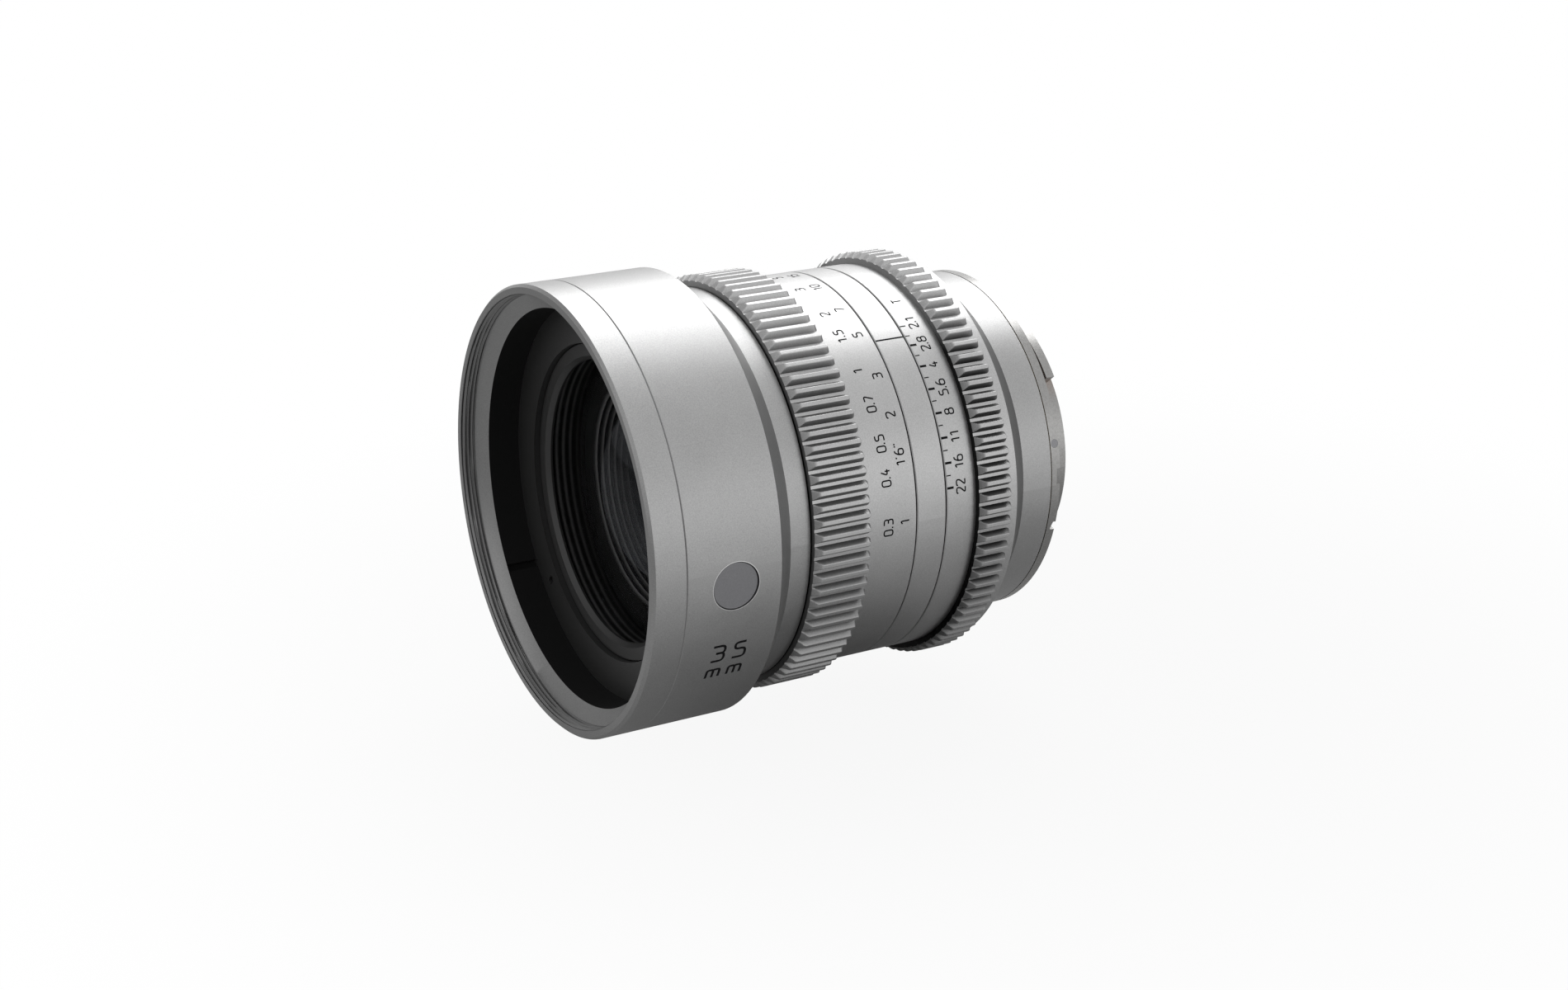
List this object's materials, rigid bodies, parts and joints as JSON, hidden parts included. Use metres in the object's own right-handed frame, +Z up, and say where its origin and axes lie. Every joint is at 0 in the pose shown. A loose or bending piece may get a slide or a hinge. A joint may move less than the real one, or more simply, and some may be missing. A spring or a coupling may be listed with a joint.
{
  "type": "cinema prime lens",
  "caption": "Cinema prime lens with a wide front barrel, geared focus and iris rings with engraved scales, a bladed iris inside and a bayonet mount at the rear.",
  "frame": {"origin": "centre of the mount flange's rear face, on the optical axis", "axes": "+Y along the optical axis towards the camera, the front of the lens at -Y; +Z up; angles on the rings turn from +X towards +Z"},
  "size_m": [0.08, 0.0929, 0.08],
  "materials": {
    "silver_shell": "bead-blasted, clear anodised",
    "black_anodised": "matte black",
    "grey_anodised": "satin grey",
    "coated_glass": "polished, coated",
    "steel": "turned, bright",
    "brass": "machined",
    "slip_washer": "matte",
    "blade_coating": "dry film, matte",
    "dot_paint": "filled mark"
  },
  "bodies": {
    "lens_barrel": {"front_ring": "silver_shell", "front_barrel": "silver_shell", "blank_badge": "grey_anodised", "front_sleeve": "black_anodised", "front_retaining_ring": "grey_anodised", "front_bezel": "grey_anodised", "front_cell": "black_anodised", "front_element": "coated_glass", "ridged_spacer": "black_anodised", "second_element": "coated_glass", "front_cell_ring": "black_anodised", "guide_tube": "grey_anodised", "dowel_pins": "steel", "index_band": "silver_shell", "focus_stop_pin": "steel", "front_slip_washer": "slip_washer", "rear_slip_washer": "slip_washer", "iris_housing": "black_anodised", "iris_cover": "black_anodised", "iris_screws": "steel", "rear_cell": "black_anodised", "rear_cell_front_ring": "black_anodised", "fifth_element": "coated_glass", "sixth_element": "coated_glass", "rear_element": "coated_glass", "rear_cell_ring": "black_anodised", "rear_barrel": "silver_shell", "mount_shim": "brass", "mount_flange": "steel", "mount_screws": "steel", "mount_dot": "dot_paint", "rear_baffle": "black_anodised", "baffle_screws": "steel"},
    "focus_ring": {"focus_ring": "silver_shell", "cam_sleeve": "brass", "sleeve_keys": "steel"},
    "focus_group": {"focus_cell": "black_anodised", "third_element": "coated_glass", "fourth_element": "coated_glass", "focus_cell_ring": "black_anodised", "cam_rollers": "brass", "roller_pins": "steel"},
    "iris_ring": {"iris_ring": "silver_shell", "iris_drive_pin": "steel", "iris_cam_ring": "brass"},
    "iris_blade_1": {"iris_blade_1": "blade_coating"},
    "iris_blade_2": {"iris_blade_2": "blade_coating"},
    "iris_blade_3": {"iris_blade_3": "blade_coating"},
    "iris_blade_4": {"iris_blade_4": "blade_coating"},
    "iris_blade_5": {"iris_blade_5": "blade_coating"},
    "iris_blade_6": {"iris_blade_6": "blade_coating"},
    "iris_blade_7": {"iris_blade_7": "blade_coating"},
    "iris_blade_8": {"iris_blade_8": "blade_coating"},
    "iris_blade_9": {"iris_blade_9": "blade_coating"},
    "iris_blade_10": {"iris_blade_10": "blade_coating"}
  },
  "joints": [
    {"name": "focus_turn", "type": "hinge", "parent": "lens_barrel", "child": "focus_ring", "pos_m": [0, -0.0434, 0], "axis": [0, -1, 0], "range_deg": [-81, 54]},
    {"name": "focus_slide", "type": "slide", "parent": "lens_barrel", "child": "focus_group", "axis": [0, -1, 0], "range_m": [-0.00326, 0.00218]},
    {"name": "iris_turn", "type": "hinge", "parent": "lens_barrel", "child": "iris_ring", "pos_m": [0, -0.0196, 0], "axis": [0, -1, 0], "range_deg": [-3.6, 45.9]},
    {"name": "blade_1_swing", "type": "hinge", "parent": "lens_barrel", "child": "iris_blade_1", "pos_m": [0.01543, -0.021, 0], "axis": [0, -1, 0], "range_deg": [-2.4, 29.4]},
    {"name": "blade_2_swing", "type": "hinge", "parent": "lens_barrel", "child": "iris_blade_2", "pos_m": [0.01248, -0.021, 0.00907], "axis": [0, -1, 0], "range_deg": [-2.4, 29.4]},
    {"name": "blade_3_swing", "type": "hinge", "parent": "lens_barrel", "child": "iris_blade_3", "pos_m": [0.00477, -0.021, 0.01467], "axis": [0, -1, 0], "range_deg": [-2.4, 29.4]},
    {"name": "blade_4_swing", "type": "hinge", "parent": "lens_barrel", "child": "iris_blade_4", "pos_m": [-0.00477, -0.021, 0.01467], "axis": [0, -1, 0], "range_deg": [-2.4, 29.4]},
    {"name": "blade_5_swing", "type": "hinge", "parent": "lens_barrel", "child": "iris_blade_5", "pos_m": [-0.01248, -0.021, 0.00907], "axis": [0, -1, 0], "range_deg": [-2.4, 29.4]},
    {"name": "blade_6_swing", "type": "hinge", "parent": "lens_barrel", "child": "iris_blade_6", "pos_m": [-0.01543, -0.021, 0], "axis": [0, -1, 0], "range_deg": [-2.4, 29.4]},
    {"name": "blade_7_swing", "type": "hinge", "parent": "lens_barrel", "child": "iris_blade_7", "pos_m": [-0.01248, -0.021, -0.00907], "axis": [0, -1, 0], "range_deg": [-2.4, 29.4]},
    {"name": "blade_8_swing", "type": "hinge", "parent": "lens_barrel", "child": "iris_blade_8", "pos_m": [-0.00477, -0.021, -0.01467], "axis": [0, -1, 0], "range_deg": [-2.4, 29.4]},
    {"name": "blade_9_swing", "type": "hinge", "parent": "lens_barrel", "child": "iris_blade_9", "pos_m": [0.00477, -0.021, -0.01467], "axis": [0, -1, 0], "range_deg": [-2.4, 29.4]},
    {"name": "blade_10_swing", "type": "hinge", "parent": "lens_barrel", "child": "iris_blade_10", "pos_m": [0.01248, -0.021, -0.00907], "axis": [0, -1, 0], "range_deg": [-2.4, 29.4]}
  ],
  "couplings": [
    {"joint": "focus_slide", "follows": "focus_turn", "m_per_rad": 0.0022918},
    {"joint": "blade_1_swing", "follows": "iris_turn", "ratio": 0.63636},
    {"joint": "blade_2_swing", "follows": "iris_turn", "ratio": 0.63636},
    {"joint": "blade_3_swing", "follows": "iris_turn", "ratio": 0.63636},
    {"joint": "blade_4_swing", "follows": "iris_turn", "ratio": 0.63636},
    {"joint": "blade_5_swing", "follows": "iris_turn", "ratio": 0.63636},
    {"joint": "blade_6_swing", "follows": "iris_turn", "ratio": 0.63636},
    {"joint": "blade_7_swing", "follows": "iris_turn", "ratio": 0.63636},
    {"joint": "blade_8_swing", "follows": "iris_turn", "ratio": 0.63636},
    {"joint": "blade_9_swing", "follows": "iris_turn", "ratio": 0.63636},
    {"joint": "blade_10_swing", "follows": "iris_turn", "ratio": 0.63636}
  ]
}
